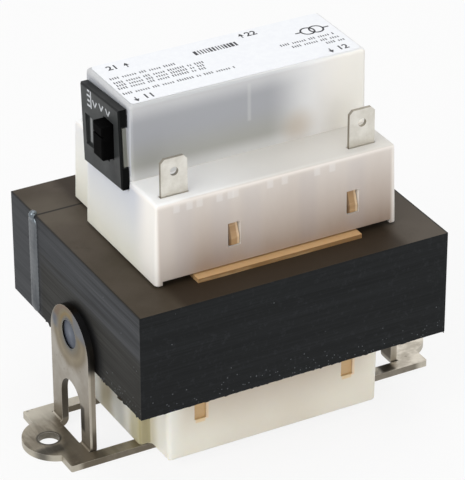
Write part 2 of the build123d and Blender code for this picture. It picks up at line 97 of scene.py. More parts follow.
class Board:
    """A node tree with short calls that add nodes and join them."""

    def __init__(self, tree):
        self.tree = tree

    def feed(self, socket, value):
        if isinstance(value, bpy.types.NodeSocket):
            self.tree.links.new(value, socket)
        else:
            socket.default_value = value

    def add(self, kind, options=None, **inputs):
        node = self.tree.nodes.new(kind)
        for name, value in (options or {}).items():
            setattr(node, name, value)
        for name, value in inputs.items():
            self.feed(node.inputs[name.replace("_", " ")], value)
        return node

    def coords(self, output="Object"):
        return self.add("ShaderNodeTexCoord").outputs[output]

    def place(self, vector, scale, rotation=(0, 0, 0)):
        return self.add("ShaderNodeMapping", Vector=vector, Scale=scale, Rotation=rotation).outputs[0]

    def parts(self, vector):
        return self.add("ShaderNodeSeparateXYZ", Vector=vector).outputs

    def math(self, operation, first, second=0.0):
        node = self.add("ShaderNodeMath", {"operation": operation})
        self.feed(node.inputs[0], first)
        self.feed(node.inputs[1], second)
        return node.outputs[0]

    def span(self, value, low, high, start=0.0, end=1.0, smooth=True):
        """Goes from start to end as the value goes from low to high."""
        options = {"interpolation_type": "SMOOTHSTEP" if smooth else "LINEAR"}
        made = self.add("ShaderNodeMapRange", options, Value=value, From_Min=low, From_Max=high,
                        To_Min=start, To_Max=end)
        return made.outputs[0]

    def fade(self, value, low, high, start=0.0, end=1.0, origin=0.0):
        """A span between two places in millimetres, counted from an origin in metres."""
        return self.span(value, origin + low * MM, origin + high * MM, start, end)

    def noise(self, vector, scale, detail=3.0, rough=0.55):
        made = self.add("ShaderNodeTexNoise", Vector=vector, Scale=scale, Detail=detail, Roughness=rough)
        return made.outputs[0]

    def blend(self, factor, first, second):
        node = self.add("ShaderNodeMix", {"data_type": "RGBA"})
        for index, value in ((0, factor), (6, first), (7, second)):
            self.feed(node.inputs[index], value)
        return node.outputs[2]

    def ramp(self, factor, *stops):
        node = self.add("ShaderNodeValToRGB", Fac=factor)
        points = node.color_ramp.elements
        while len(points) < len(stops):
            points.new(0.5)
        for point, (position, colour) in zip(points, stops):
            point.position = position
            point.color = colour
        return node.outputs[0]

    def effect(self, group, **inputs):
        return self.add("ShaderNodeGroup", {"node_tree": group}, **inputs).outputs

    def bump(self, height, strength, distance):
        made = self.add("ShaderNodeBump", Height=height, Strength=strength, Distance=distance)
        return made.outputs[0]

    def cloud(self, scale, low=0.3, high=0.7, stretch=(1, 1, 1)):
        return self.effect(mottle, Scale=scale, Stretch=stretch, Low=low, High=high)["Mask"]

    def patch(self, centre, half, soft):
        return self.effect(soft_box, Centre=centre, Half=half, Soft=soft)["Mask"]

    def wear_and_highlight(self, radius, gain):
        return self.effect(edge_wear_and_highlight, Radius=radius * MM, Gain=gain)["Mask"]

    def facing(self, axis, low=0.4):
        """1 where the surface looks along that axis, either way, and 0 where it lies along it."""
        return self.span(self.away(self.parts(self.coords("Normal"))[axis]), low, 0.8)

    def flip(self, mask):
        return self.math("SUBTRACT", 1.0, mask)

    def product(self, first, *others):
        for other in others:
            first = self.math("MULTIPLY", first, other)
        return first

    def away(self, value, centre=0.0):
        """How far a value lies from a centre, either way."""
        return self.math("ABSOLUTE", self.math("SUBTRACT", value, centre) if centre else value)

    def distance(self, first, second):
        """How far a spot lies from the middle, from its two offsets."""
        squares = [self.math("MULTIPLY", value, value) for value in (first, second)]
        return self.math("SQRT", self.math("ADD", *squares))

    def paint(self, colour, tint, share, *masks):
        """Lays a tint over a colour where all the masks are on, up to that share."""
        return self.blend(self.product(share, *masks), colour, tint)

    def coats(self, colour, *tones):
        """Paints several tints in turn, each written with its share and its masks."""
        for tint, share, *masks in tones:
            colour = self.paint(colour, tint, share, *masks)
        return colour


def new_effect(name, ins, outs):
    """A shared shader group: its board, and the sockets that come in and go out."""
    tree = bpy.data.node_groups.new(name, "ShaderNodeTree")
    for title, kind, value in ins:
        tree.interface.new_socket(title, in_out="INPUT", socket_type=kind).default_value = value
    for title, kind in outs:
        tree.interface.new_socket(title, in_out="OUTPUT", socket_type=kind)
    board = Board(tree)
    return board, board.add("NodeGroupInput").outputs, board.add("NodeGroupOutput").inputs


FLOAT, VECTOR = "NodeSocketFloat", "NodeSocketVector"


def mottle_effect():
    """Cloudy patches between two noise levels, stretched along any axis."""
    board, ins, outs = new_effect(
        "mottle",
        [("Scale", FLOAT, 100.0), ("Stretch", VECTOR, (1, 1, 1)),
         ("Low", FLOAT, 0.4), ("High", FLOAT, 0.6)],
        [("Mask", FLOAT)],
    )
    spread = board.add("ShaderNodeVectorMath", {"operation": "MULTIPLY"})
    board.feed(spread.inputs[0], board.coords())
    board.feed(spread.inputs[1], ins["Stretch"])
    cloud = board.noise(spread.outputs[0], ins["Scale"], detail=5.0, rough=0.6)
    board.feed(outs["Mask"], board.span(cloud, ins["Low"], ins["High"]))
    return board.tree


def soft_box_effect():
    """A patch that is full inside a box and fades out over a soft border."""
    board, ins, outs = new_effect(
        "soft_box",
        [("Centre", VECTOR, (0, 0, 0)), ("Half", VECTOR, (0.01, 0.01, 0.01)), ("Soft", FLOAT, 0.002)],
        [("Mask", FLOAT)],
    )
    steps = board.coords()
    for operation, other in (("SUBTRACT", ins["Centre"]), ("ABSOLUTE", None), ("SUBTRACT", ins["Half"])):
        node = board.add("ShaderNodeVectorMath", {"operation": operation})
        board.feed(node.inputs[0], steps)
        if other is not None:
            board.feed(node.inputs[1], other)
        steps = node.outputs[0]
    mask = 1.0
    for outside in board.parts(steps):
        mask = board.math("MULTIPLY", board.span(outside, 0.0, ins["Soft"], 1.0, 0.0), mask)
    board.feed(outs["Mask"], mask)
    return board.tree


def edge_wear_and_highlight_effect():
    """A mask along the sharp edges of a piece, broken up so that it isn't a plain outline. It carries
    real wear on some pieces and a painted edge highlight on others.
    """
    board, ins, outs = new_effect(
        "edge_wear_and_highlight", [("Radius", FLOAT, 0.0003), ("Gain", FLOAT, 4.0)], [("Mask", FLOAT)]
    )
    rounded = board.add("ShaderNodeBevel", {"samples": 6}, Radius=ins["Radius"]).outputs[0]
    match = board.add("ShaderNodeVectorMath", {"operation": "DOT_PRODUCT"})
    board.feed(match.inputs[0], rounded)
    board.feed(match.inputs[1], board.add("ShaderNodeNewGeometry").outputs["Normal"])
    turn = board.product(board.flip(match.outputs["Value"]), ins["Gain"])
    patchy = board.span(board.noise(board.coords(), 420.0), 0.3, 0.6, 0.35, 1.0)
    board.feed(outs["Mask"], board.math("MINIMUM", board.product(turn, patchy), 1.0))
    return board.tree


def specks_effect():
    """Sparse round specks. Share is the part of the cells that holds one."""
    board, ins, outs = new_effect(
        "specks", [("Scale", FLOAT, 900.0), ("Share", FLOAT, 0.05), ("Size", FLOAT, 0.3)],
        [("Mask", FLOAT)],
    )
    cells = board.add("ShaderNodeTexVoronoi", Vector=board.coords(), Scale=ins["Scale"])
    chosen = board.math("LESS_THAN", board.parts(cells.outputs["Color"])[0], ins["Share"])
    inside = board.math("LESS_THAN", cells.outputs["Distance"], ins["Size"])
    board.feed(outs["Mask"], board.math("MULTIPLY", chosen, inside))
    return board.tree


def grain_effect():
    """The fine skin of a moulded surface: a height for bump and a share for roughness."""
    board, ins, outs = new_effect(
        "moulded_grain", [("Scale", FLOAT, 2500.0)], [("Height", FLOAT), ("Rough", FLOAT)]
    )
    spot = board.coords()
    board.feed(outs["Height"], board.noise(spot, ins["Scale"], detail=2.0))
    board.feed(outs["Rough"], board.span(board.noise(spot, 160.0, detail=4.0), 0.3, 0.7))
    return board.tree


mottle = mottle_effect()
soft_box = soft_box_effect()
edge_wear_and_highlight = edge_wear_and_highlight_effect()
specks = specks_effect()
grain = grain_effect()


def new_finish(name, **plain):
    """A material with one principled shader, whose plain values are set on its own sockets."""
    material = bpy.data.materials.new(name + "_finish")
    material.use_nodes = True
    board = Board(material.node_tree)
    shader = material.node_tree.nodes["Principled BSDF"]
    for socket, value in plain.items():
        shader.inputs[socket.replace("_", " ")].default_value = value
    return material, board, shader.inputs


def moulded_skin(board, shader, colour, scale, smooth, coarse, strength, depth):
    """Gives a moulded or printed surface its colour and a fine grain, between two roughnesses."""
    board.feed(shader["Base Color"], colour)
    skin = board.effect(grain, Scale=scale)
    board.feed(shader["Roughness"], board.span(skin["Rough"], 0, 1, smooth, coarse))
    board.feed(shader["Normal"], board.bump(skin["Height"], strength, depth))


# Varnished laminations: black layered cut edges, greyer on the ends partly as a painted sheen, a painted
# shadow round each upright's dome, a painted edge highlight, and a brown film on the flat faces
def core_film(board):
    """The brown film: paler at both ends, with painted shade beside the cover's long walls, and dark in
    the joint.
    """
    across, along = board.parts(board.coords())[:2]
    by_joint = board.patch((0, bar_low.y, core_high.z), (1, 4 * MM, 1), 6 * MM)
    # Painted shade on the film along the cover's long walls
    shade_beside_cover_walls = board.product(board.fade(board.away(across), 29, 26),
                            board.fade(board.away(along), -3, 0, origin=cover_high.y))
    return board.coats(
        board.blend(board.cloud(70.0, 0.35, 0.65), srgb(78, 70, 61), srgb(66, 58, 48)),
        (srgb(52, 45, 38), 0.4, board.cloud(260.0, 0.56, 0.74)),
        (srgb(94, 87, 79), 0.5, board.fade(across, 24, 32)),
        (srgb(96, 89, 78), 0.5, board.fade(across, -27, -33), by_joint),
        (srgb(56, 48, 34), 0.3, board.fade(across, -24, -30), board.fade(along, 4, -10)),
        (srgb(46, 37, 27), 0.9, shade_beside_cover_walls),
        (srgb(22, 20, 18), 0.9, board.fade(board.away(along, bar_low.y), 0.45, 0.15)),
    )


def core_finish():
    material, board, shader = new_finish("core_laminations", Specular_IOR_Level=0.12)
    spot = board.coords()
    across, along, up = board.parts(spot)
    sheets = board.noise(board.place(spot, scale=(30, 30, 1900)), 1.0, detail=4.0, rough=0.7)
    bands = board.noise(board.place(spot, scale=(9, 9, 420)), 1.0, detail=3.0)
    layers = board.math("ADD", board.product(sheets, 0.6), board.product(bands, 0.4))
    top_side, end_side = board.facing(2), board.facing(0)

    def layered(dark, middle, light):
        return board.ramp(layers, (0.36, dark), (0.5, middle), (0.66, light))

    front = layered(srgb(18, 20, 21), srgb(23, 25, 26), srgb(30, 32, 34))
    front = board.paint(front, srgb(46, 48, 51), 0.4, board.cloud(900.0, 0.52, 0.74))
    dull = layered(srgb(22, 21, 17), srgb(28, 27, 23), srgb(36, 35, 30))
    uneven = board.math("ADD", up, board.span(bands, 0.3, 0.7, -1.5 * MM, 1.5 * MM))
    # Painted shadow round the upright's dome, on the ends
    rise = board.math("MAXIMUM", board.math("SUBTRACT", up, dome_z), 0.0)
    beside_upright = board.distance(board.math("ADD", along, 2.8 * MM), rise)
    # The ends are greyer than the front, partly as a painted sheen
    ends = board.coats(
        layered(srgb(36, 37, 40), srgb(46, 48, 51), srgb(56, 58, 62)),
        (srgb(52, 54, 57), 0.7, board.fade(along, 0, 1, origin=bar_low.y)),
        (dull, 1.0, board.fade(uneven, -7, -12, origin=core_high.z),
         board.fade(along, 0, -3, origin=bar_low.y)),
        (srgb(4, 4, 4), 0.97, board.fade(beside_upright, 12.4, 9.6)),
    )

    near_end = board.fade(board.away(across), -0.5, -0.15, origin=core_high.x)
    near_top = board.fade(up, -0.45, -0.1, origin=core_high.z)
    near_foot = board.product(board.fade(up, 6, -0.3, 0.0012, 0.15, origin=core_low.z),
                              board.fade(along, -6, -24, 0.02, 1.0))
    glints = board.effect(specks, Scale=2100.0, Share=near_foot, Size=0.3)["Mask"]
    colour = board.coats(
        board.blend(end_side, front, ends),
        (core_film(board), 1.0, top_side),
        (srgb(20, 20, 20), 0.85, near_end, near_top),
        (srgb(122, 127, 131), 0.5, glints, board.flip(top_side)),
        # A painted highlight along the edges below the top
        (srgb(84, 84, 84), 0.3, board.wear_and_highlight(0.2, 2.0), board.flip(near_top)),
    )
    board.feed(shader["Base Color"], colour)
    board.feed(shader["Roughness"], board.span(layers, 0.3, 0.7, 0.56, 0.42))
    relief = board.product(layers, board.flip(top_side))
    board.feed(shader["Normal"], board.bump(relief, 0.35, 0.12 * MM))
    return material


# Weld run: smooth grey steel, brighter on the ball at its top
def weld_finish():
    material, board, shader = new_finish("weld_bead", Metallic=1.0)
    spot = board.coords()
    up = board.parts(spot)[2]
    drawn = board.cloud(420.0, 0.34, 0.68, (1, 1, 0.25))
    colour = board.blend(drawn, srgb(110, 113, 116), srgb(88, 91, 95))
    ball = board.fade(up, -2.2, -1.2, origin=core_high.z)
    board.feed(shader["Base Color"], board.paint(colour, srgb(110, 118, 124), 0.8, ball))
    rough = board.span(drawn, 0, 1, 0.42, 0.55)
    board.feed(shader["Roughness"], board.math("SUBTRACT", rough, board.product(ball, 0.24)))
    board.feed(shader["Normal"], board.bump(board.noise(spot, 1400.0), 0.15, 0.08 * MM))
    return material


# Plated foot frame: warm grey sheet, rails with painted light and shade, and the heat colours round each
# spot weld
def foot_tones(board, sheet, foot):
    """The flat feet and rails: smeared, and at the left end scored, darkened by painted shade and a
    painted dark reflection, with painted light on the rear of the foot and the rail tops; paler at the
    right.
    """
    spot = board.coords()
    across, along = board.parts(spot)[:2]
    out, flat = board.away(across), board.facing(2)
    left_foot = board.product(foot, board.fade(across, 0, -20))
    # Painted shade: the left foot darker than the right
    plate = board.blend(board.fade(across, -20, 20), srgb(172, 164, 149), srgb(214, 207, 194))
    smears = board.cloud(190.0, 0.42, 0.66, (1, 1.4, 1))
    plate = board.paint(plate, srgb(128, 119, 104), 0.55, smears)
    scratches = board.place(spot, scale=(700, 160, 700), rotation=(0, 0, 0.5))
    scored = board.span(board.noise(scratches, 1.0, detail=5.0), 0.42, 0.62)

    # A dark wedge of painted shade between the hole and the leg, mottled
    slant = board.math("ADD", out, board.product(along, 0.262))
    shade = board.product(board.fade(slant, 43.6, 41.8), board.fade(out, 36, 39, 0.15, 1.0))
    wedge_mottle = board.cloud(620.0, 0.58, 0.72, (0.5, 1.6, 1))
    wedge = board.paint(srgb(122, 113, 98), srgb(164, 156, 140), 0.6, wedge_mottle)

    # Cut edges, the rim of the hole and a painted dark reflection in front of it
    from_hole = board.distance(board.math("SUBTRACT", out, hole_x), along)
    cut_tone = board.blend(board.fade(out, -3, -1, origin=hole_x), srgb(100, 93, 81), srgb(186, 180, 166))
    reflection_streak = board.patch((-hole_x - 1.8 * MM, -4.6 * MM, 0), (2.4 * MM, 0.7 * MM, 3 * MM), 1.6 * MM)
    rim = board.fade(board.away(from_hole, 2.6 * MM), 0.5, 0.1)

    # Painted light on the left rail tops, painted shade on the rear rail's front edge, and a patch of
    # painted shade beside the right front leg
    front_rail = board.product(board.fade(out, 38, 36), board.fade(along, -8, -9))
    shade_by_right_leg = board.patch((36.0 * MM, -11.0 * MM, 1.5 * MM), (1.2 * MM, 1.0 * MM, 1 * MM), 1.2 * MM)
    return board.coats(
        board.blend(foot, sheet, plate),
        (srgb(108, 100, 86), 0.5, left_foot, scored),
        (wedge, 0.88, left_foot, shade),
        (cut_tone, 0.8, foot, board.flip(flat), board.fade(from_hole, 2.6, 3.2)),
        (srgb(58, 57, 54), 0.7, left_foot, board.math("MAXIMUM", reflection_streak, rim)),
        (srgb(220, 214, 200), 0.7, left_foot, flat, board.fade(along, 4.5, 11)),
        (srgb(196, 187, 168), 0.5, left_foot, flat, front_rail),
        (srgb(92, 85, 73), 0.85, left_foot, board.facing(1), board.fade(along, 9.0, 9.2)),
        (srgb(58, 52, 42), 0.9, shade_by_right_leg, flat),
    )


def leg_tones(board, sheet, leg):
    """The uprights: painted shade low on the faces, in the slot and on the right leg's inner face, a
    painted dark reflection, and cut edges with painted highlight and shade.
    """
    across, along, up = board.parts(board.coords())
    out, by_middle = board.away(across), board.away(along)
    face, side = board.facing(0), board.product(leg, board.facing(1))
    right_end = board.fade(across, 0, 20)
    low_shade = board.fade(board.math("ADD", up, board.product(along, 0.3)), 8.4, 6.0)
    # Painted highlight and shade on the cut edges: dark low down, bright on their outer part
    lit_tone = board.blend(board.fade(up, 7, 3), srgb(182, 175, 162), srgb(232, 226, 212))
    edge_tone = board.coats(
        board.blend(board.fade(up, 5, 8), srgb(78, 70, 58), srgb(136, 128, 114)),
        (lit_tone, 1.0, board.fade(out, 0.9, 1.2, origin=core_high.x)),
        (srgb(176, 168, 154), 0.9, right_end),
    )
    inner = board.fade(out, 0.5, 0.2, origin=core_high.x)
    dark_reflection = board.patch((-core_high.x, -5.5 * MM, 8.4 * MM), (3 * MM, 0.8 * MM, 2.6 * MM), 1.0 * MM)
    return board.coats(
        sheet,
        (srgb(118, 111, 100), 0.6, leg, low_shade, face, board.fade(along, -9, 0, 0.3, 1.0)),
        (srgb(66, 61, 52), 0.92, side, board.fade(by_middle, 5.6, 5.2)),
        (edge_tone, 0.8, side, board.fade(by_middle, 8.6, 9.0)),
        (srgb(66, 58, 45), 0.9, leg, right_end, inner, face),
        (srgb(34, 30, 26), 0.85, dark_reflection, face),
    )


def heat_tones(board, sheet, wall):
    """Rings of heat colours round each spot weld, stronger above it than below."""
    spot = board.coords()
    along, up = board.parts(spot)[1:]
    rise = board.math("SUBTRACT", up, spot_weld_z)
    wander = board.span(board.noise(spot, 180.0), 0.3, 0.7, -0.3 * MM, 0.3 * MM)
    reach = board.math("ADD", board.distance(along, rise), wander)
    heat = board.span(reach, 0.0, 10 * MM, smooth=False)
    around = board.span(heat, 0.34, 0.44)
    rings = board.ramp(
        heat, (0.0, srgb(108, 115, 126)), (0.12, srgb(84, 91, 104)), (0.32, srgb(62, 69, 82)),
        (0.38, srgb(114, 109, 97)), (0.5, srgb(120, 109, 89)), (0.62, srgb(138, 127, 105)),
        (0.76, srgb(128, 117, 97)), (0.9, srgb(144, 135, 119)),
    )
    coloured = board.ramp(
        heat, (0.38, srgb(112, 104, 86)), (0.46, srgb(132, 110, 66)), (0.54, srgb(122, 112, 86)),
        (0.63, srgb(114, 95, 78)), (0.74, srgb(116, 98, 80)), (0.84, srgb(118, 118, 108)),
    )
    beside = board.fade(board.away(rise, 0.2 * MM), 2.6, 0.6)
    tint = board.coats(
        rings,
        (coloured, 0.9, board.fade(rise, -1.0, 3.0), around),
        (srgb(92, 99, 110), 0.85, board.fade(along, 4.6, 7.2), beside),
        (srgb(108, 112, 119), 0.85, board.fade(along, -1.2, -3.0), board.fade(rise, 0.3, 2.4), around),
    )
    return board.paint(sheet, tint, 1.0, wall, board.span(heat, 0.98, 0.72))


def frame_finish():
    material, board, shader = new_finish("frame_steel", Metallic=1.0)
    spot = board.coords()
    across, _, up = board.parts(spot)
    foot = board.fade(up, 2.6, 1.7)
    wall = board.math("GREATER_THAN", board.away(across), core_high.x)
    patches = board.cloud(120.0)
    colour = board.blend(patches, srgb(166, 160, 150), srgb(151, 144, 133))
    colour = foot_tones(board, colour, foot)
    colour = leg_tones(board, colour, board.flip(foot))
    edge_strip = board.product(wall, board.flip(board.facing(0)),
                               board.fade(up, -2, 1, origin=core_low.z))
    pits = board.effect(specks, Scale=800.0, Share=0.05, Size=0.26)["Mask"]
    colour = board.coats(
        heat_tones(board, colour, wall),
        (srgb(20, 19, 18), 0.9, edge_strip),
        # Painted highlight along the edges, off the dark edge strip
        (srgb(222, 216, 202), 0.6, board.wear_and_highlight(0.25, 3.0), board.flip(edge_strip)),
        (srgb(96, 90, 82), 0.4, pits),
    )
    board.feed(shader["Base Color"], colour)
    board.feed(shader["Roughness"], board.span(patches, 0, 1, 0.36, 0.5))
    brushed = board.noise(board.place(spot, scale=(2600, 300, 300)), 1.0)
    board.feed(shader["Normal"], board.bump(brushed, 0.12, 0.05 * MM))
    return material


# Bobbin: tan glass-filled nylon with a faint flow pattern, shaded on its ledges and catches
def bobbin_finish():
    material, board, shader = new_finish(
        "bobbin_plastic", Subsurface_Weight=0.15, Subsurface_Radius=(1.0, 0.6, 0.3),
        Subsurface_Scale=0.6 * MM,
    )
    up = board.parts(board.coords())[2]
    flow = board.cloud(160.0, 0.34, 0.66, (0.5, 1, 1.6))
    fibres = board.cloud(900.0, 0.5, 0.66, (0.12, 1, 1))
    ledge = board.patch((0, 0, core_high.z), (1, 1, 1.6 * MM), 0.6 * MM)
    colour = board.coats(
        board.blend(flow, srgb(194, 156, 110), srgb(174, 138, 94)),
        (srgb(150, 116, 76), 0.5, board.fade(up, 2, 3, origin=core_high.z)),
        (srgb(138, 102, 60), 0.75, ledge, board.facing(1)),
        (srgb(212, 174, 126), 0.6, ledge, board.facing(2)),
        (srgb(216, 184, 138), 0.4, fibres),
        (srgb(212, 178, 130), 0.8, board.fade(up, 0, -2, origin=core_low.z)),
    )
    for x in top_catches:
        for side, tone, share in ((-1, srgb(104, 76, 44), 0.85), (1, srgb(226, 202, 168), 0.7)):
            strip = board.patch(((x + side * 1.1) * MM, cover_low.y, (tier_z + core_high.z) / 2),
                                (0.22 * MM, 4 * MM, 6 * MM), 0.3 * MM)
            colour = board.paint(colour, tone, share, strip)
    moulded_skin(board, shader, colour, 2200.0, 0.42, 0.56, 0.15, 0.08 * MM)
    return material


# Top cover: milky plastic, with painted shade where the breaker stands behind it and a painted warm tint
# where the coil shows through
def lower_tier_tones(board, colour, lower):
    """The wide lower tier: the warm coil and the ribs behind its long walls painted as they show through,
    a painted bright rim, and painted shade on the shelf.
    """
    across, along, up = board.parts(board.coords())
    flat = board.facing(2)
    long_wall, end_wall = (board.product(lower, board.facing(axis)) for axis in (1, 0))
    depth = board.span(up, tier_z - 1.0 * MM, cover_low.z, smooth=False)
    uneven = board.cloud(70.0, 0.2, 0.8, (1, 1, 0.3))
    coil = board.product(long_wall, board.math("ADD", depth, board.product(uneven, 0.2)),
                         board.fade(across, 2, 13, 0.5, 1.0, origin=cover_low.x))
    colour = board.coats(colour, (srgb(226, 214, 202), 0.6, long_wall), (srgb(142, 112, 86), 0.72, coil))
    for x in rib_shadows:
        band = board.patch((x * MM, cover_low.y, (tier_z + cover_low.z) / 2),
                           (1.0 * MM, 2 * MM, 7 * MM), 2.4 * MM)
        colour = board.paint(colour, srgb(164, 160, 170), 0.12, band, board.facing(1))
    colour = board.coats(
        colour,
        (srgb(255, 252, 232), 0.85, end_wall, depth),
        (srgb(198, 202, 212), 0.85, end_wall, board.flip(depth), board.fade(along, 12, 9)),
        (srgb(255, 249, 241), 0.9, end_wall, board.fade(along, -11, -19)),
    )
    for x in rib_places:
        rib = board.patch((x * MM, cover_low.y, tier_z - 1.8 * MM),
                          (0.5 * MM, 2 * MM, 0.7 * MM), 0.5 * MM)
        colour = board.paint(colour, srgb(244, 242, 240), 0.35, rib)

    # Painted light on the corners and rim; painted shade on the shelf that the tabs stand on, with
    # painted light at its left end
    middle, half = (cover_low + cover_high) / 2, (cover_high - cover_low) / 2
    corner = board.product(lower, board.fade(board.away(across, middle.x), -1.8, -0.7, origin=half.x),
                           board.fade(board.away(along), -2.2, -1.0, origin=half.y))
    rim = board.product(lower, board.fade(up, -1.5, -0.5, origin=tier_z), board.flip(flat), 0.6)
    shelf = board.product(flat, board.fade(up, 2, 1, origin=tier_z))
    return board.coats(
        colour,
        (srgb(252, 246, 239), 0.8, board.math("MAXIMUM", corner, rim)),
        (srgb(208, 204, 196), 0.75, shelf, board.fade(across, -24, 6)),
        (srgb(252, 252, 250), 0.8, shelf, board.fade(across, -20, -25)),
    )


def upper_tier_tones(board, colour, upper):
    """The narrow upper tier: painted shade where the breaker's case stands behind it, painted light past
    the case.
    """
    across, _, up = board.parts(board.coords())
    long_wall = board.product(upper, board.facing(1))
    off_shelf = board.fade(up, 0, 4, 0.35, 1.0, origin=tier_z)
    under_roof = board.fade(up, -0.5, -5, 0.5, 1.0, origin=cover_high.z)
    behind = board.fade(across, 15, 2.5, origin=case_high.x)
    grey = board.blend(board.fade(up, 3, 11, origin=tier_z), srgb(156, 156, 149), srgb(156, 158, 164))
    seam = board.patch((0.2 * MM, upper_front, cover_high.z - 6 * MM),
                       (0.15 * MM, 2 * MM, 4.2 * MM), 0.5 * MM)
    from_blot = board.distance(board.math("SUBTRACT", across, 12.3 * MM),
                               board.math("SUBTRACT", up, tier_z + 3.2 * MM))

    # The end round the bezel with painted shade, the clip beside it and the left half of the roof's edge
    dim_end = board.product(board.fade(up, 0.8, 1.6, origin=tier_z),
                            board.fade(across, 9, 1, origin=cover_low.x), board.flip(board.facing(1)))
    clip = board.product(upper, board.fade(across, -0.1, -0.3, origin=case_low.x))
    roof_edge = board.product(board.fade(up, -1.6, -0.4, origin=cover_high.z),
                              board.fade(across, 20, -20))
    return board.coats(
        colour,
        (srgb(254, 248, 238), 0.8, long_wall, board.fade(across, 12, 23, origin=case_high.x)),
        (grey, 0.85, long_wall, off_shelf, under_roof, behind),
        (srgb(214, 216, 214), 0.35, seam),
        (srgb(184, 160, 128), 0.42, long_wall, board.fade(from_blot, 6.0, 0.5)),
        (srgb(184, 187, 193), 0.95, dim_end),
        (srgb(112, 113, 104), 0.9, clip),
        (srgb(198, 199, 200), 0.85, roof_edge),
    )


def top_cover_finish():
    material, board, shader = new_finish(
        "top_cover_plastic", Subsurface_Weight=0.35, Subsurface_Radius=(1.0, 0.95, 0.9),
        Subsurface_Scale=1.6 * MM, Specular_IOR_Level=0.4,
    )
    lower = board.fade(board.parts(board.coords())[2], 0.4, -0.4, origin=tier_z)
    colour = board.blend(board.cloud(45.0), srgb(238, 238, 237), srgb(231, 231, 231))
    colour = lower_tier_tones(board, colour, lower)
    colour = upper_tier_tones(board, colour, board.flip(lower))
    moulded_skin(board, shader, colour, 2600.0, 0.36, 0.5, 0.1, 0.06 * MM)
    return material


# Bottom tray: ivory plastic, pinker with painted shade under the core and olive with painted shade in the
# recessed step, and painted light on its ends and the nose's left corner
def tray_finish():
    material, board, shader = new_finish(
        "bottom_cover_plastic", Subsurface_Weight=0.35, Subsurface_Radius=(1.0, 0.85, 0.6),
        Subsurface_Scale=1.6 * MM,
    )
    across, along, up = board.parts(board.coords())
    to_end, to_side = board.away(across), board.away(along)
    end_wall, long_wall = board.facing(0), board.facing(1)
    rise = board.span(up, tray_low.z + 3 * MM, tray_high.z)
    inward = board.fade(to_end, -3, -11, origin=tray_high.x)
    body = board.product(end_wall, board.fade(to_end, -2.4, -1.8, origin=tray_high.x))
    band = board.patch((0, 3.2 * MM, 0), (1, 0.9 * MM, 1), 4.2 * MM)
    recess_shade = board.fade(to_side, -1.2, -2.2, origin=tray_high.y)
    # Painted shade under the core, at the rear of the side walls and by the step; painted light on the
    # ends and the nose's corner
    colour = board.coats(
        board.blend(board.cloud(60.0, 0.32, 0.68), srgb(250, 244, 230), srgb(245, 238, 222)),
        (srgb(186, 168, 150), 0.75, rise, long_wall, inward),
        (srgb(255, 253, 243), 0.9, long_wall, board.fade(across, -22, -27)),
        (srgb(178, 160, 140), 0.16, long_wall, board.fade(to_end, 20, 6)),
        (srgb(255, 251, 238), 0.9, end_wall),
        (srgb(204, 197, 170), 0.85, end_wall, board.fade(along, -18, -13), board.fade(along, -10, -13)),
        (srgb(226, 226, 218), 0.8, body, board.fade(along, -7, -4)),
        (srgb(176, 166, 138), 0.95, body, band),
        (srgb(186, 179, 144), 0.92, body, board.fade(along, -7.0, -10.2), board.flip(rise)),
        (srgb(164, 154, 112), 0.9, recess_shade, long_wall),
    )

    # The bobbin's warm glow on the windows' sills and jambs
    for x in base_catches:
        sill = board.patch((x * MM, 0, window_sill * MM), (1.0 * MM, tray_high.y, 0.35 * MM), 0.4 * MM)
        jamb = board.patch(((x + 1.5) * MM, 0, jamb_middle * MM),
                           (0.3 * MM, tray_high.y, 2.2 * MM), 0.4 * MM)
        for glow, tone in ((jamb, srgb(246, 214, 176)), (sill, srgb(240, 206, 150))):
            colour = board.paint(colour, tone, 0.75, glow)
    moulded_skin(board, shader, colour, 2400.0, 0.4, 0.54, 0.12, 0.06 * MM)
    return material


# Tabs: tinned brass, pale and lightly drawn, darker along the sheared edges
def tab_finish():
    material, board, shader = new_finish("tab_tin", Metallic=1.0)
    spot = board.coords()
    colour = board.coats(
        board.blend(board.cloud(320.0), srgb(226, 223, 215), srgb(208, 204, 194)),
        (srgb(128, 119, 102), 0.7, board.flip(board.facing(1, 0.3))),
        (srgb(140, 132, 118), 0.3, board.wear_and_highlight(0.2, 2.5)),
    )
    drawn = board.noise(board.place(spot, scale=(3200, 3200, 160)), 1.0)
    board.feed(shader["Base Color"], colour)
    board.feed(shader["Roughness"], board.span(drawn, 0.3, 0.7, 0.3, 0.46))
    board.feed(shader["Normal"], board.bump(drawn, 0.1, 0.03 * MM))
    return material


# Dark mouldings of the breaker
def bezel_tones(board, shader, colour, gloss):
    """The bezel: a lit strip in its pocket, a dim lower corner, dull black sides darkened with painted
    shade, and a top darkened with painted shade.
    """
    along, up = board.parts(board.coords())[1:]
    pocket = board.patch((bezel_low.x + 0.8 * MM, 6.1 * MM, 72.6 * MM),
                         (0.4 * MM, 0.35 * MM, 2.8 * MM), 0.3 * MM)
    lift = board.product(board.math("SUBTRACT", up, bezel_middle.z), math.cos(bezel_turn))
    rise = board.math("ADD", board.product(along, math.sin(bezel_turn)), lift)
    side_face = board.product(board.facing(1), board.fade(board.away(along), 7.6, 8.2))
    board.feed(shader["Specular IOR Level"], board.span(side_face, 0, 1, gloss, 0.03))
    return board.coats(
        colour,
        (srgb(146, 148, 148), 0.9, pocket, board.facing(0)),
        (srgb(34, 35, 35), 0.6, board.fade(along, -3.5, -6.5), board.fade(rise, 1, -5)),
        (srgb(8, 9, 9), 0.92, side_face),
        (srgb(14, 15, 16), 0.92, board.fade(rise, 8.7, 9.1)),
    )


